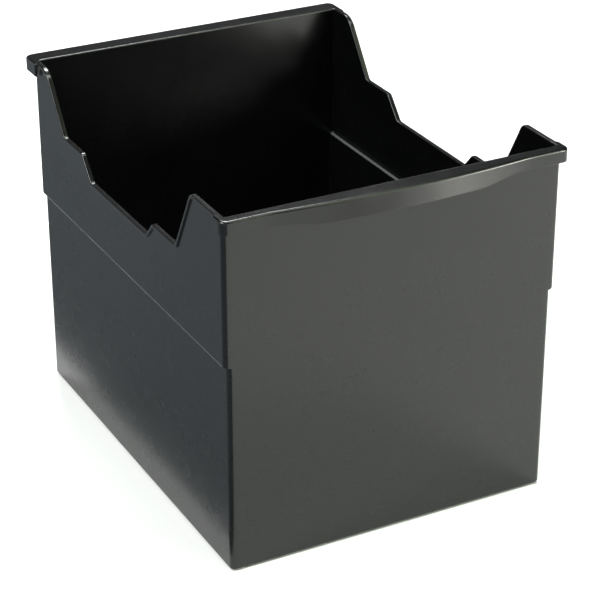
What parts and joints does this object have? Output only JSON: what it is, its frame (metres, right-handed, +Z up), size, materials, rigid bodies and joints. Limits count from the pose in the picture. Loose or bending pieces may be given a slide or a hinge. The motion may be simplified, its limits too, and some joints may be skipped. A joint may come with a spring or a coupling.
{
  "type": "card file tray",
  "caption": "Open moulded desk tray for a card file, with tall front and back walls, low stepped side walls with a rolled rim, and a sliding, tilting card support with a sprung brake.",
  "frame": {"origin": "on the table, under the middle of the moulded box's footprint", "axes": "+X to the right as seen from the front, +Y to the back, +Z up"},
  "size_m": [0.228, 0.3032, 0.232],
  "materials": {
    "tray_plastic": "satin moulded charcoal polystyrene",
    "support_plastic": "fine matt moulded texture",
    "carriage_plastic": "fine matt moulded texture",
    "lever_plastic": "satin grey",
    "track_steel": "bright zinc-plated strip",
    "screw_steel": "zinc-plated",
    "pin_steel": "drawn bright steel",
    "spring_steel": "music wire",
    "shoe_rubber": "matt",
    "foot_rubber": "matt"
  },
  "bodies": {
    "tray": {"tray_body": "tray_plastic", "front_left_foot": "foot_rubber", "front_right_foot": "foot_rubber", "back_left_foot": "foot_rubber", "back_right_foot": "foot_rubber", "guide_track": "track_steel", "track_screws": "screw_steel"},
    "carriage": {"follower_carriage": "carriage_plastic", "hinge_pin": "pin_steel", "hinge_clips": "pin_steel", "brake_pin": "pin_steel", "brake_spring": "spring_steel"},
    "support": {"support_plate": "support_plastic"},
    "brake": {"brake_lever": "lever_plastic", "brake_shoe": "shoe_rubber"}
  },
  "joints": [
    {"name": "carriage_slide", "type": "slide", "parent": "tray", "child": "carriage", "axis": [0, 1, 0], "range_m": [0, 0.216]},
    {"name": "support_tilt", "type": "hinge", "parent": "carriage", "child": "support", "pos_m": [0, -0.124, 0.0205], "axis": [1, 0, 0], "range_deg": [0, 20]},
    {"name": "brake_press", "type": "hinge", "parent": "carriage", "child": "brake", "pos_m": [0, -0.098, 0.0195], "axis": [-1, 0, 0], "range_deg": [0, 10], "stiffness_Nm_per_rad": 0.08, "springref_deg": -17.19, "deforming": ["brake_spring"]}
  ]
}
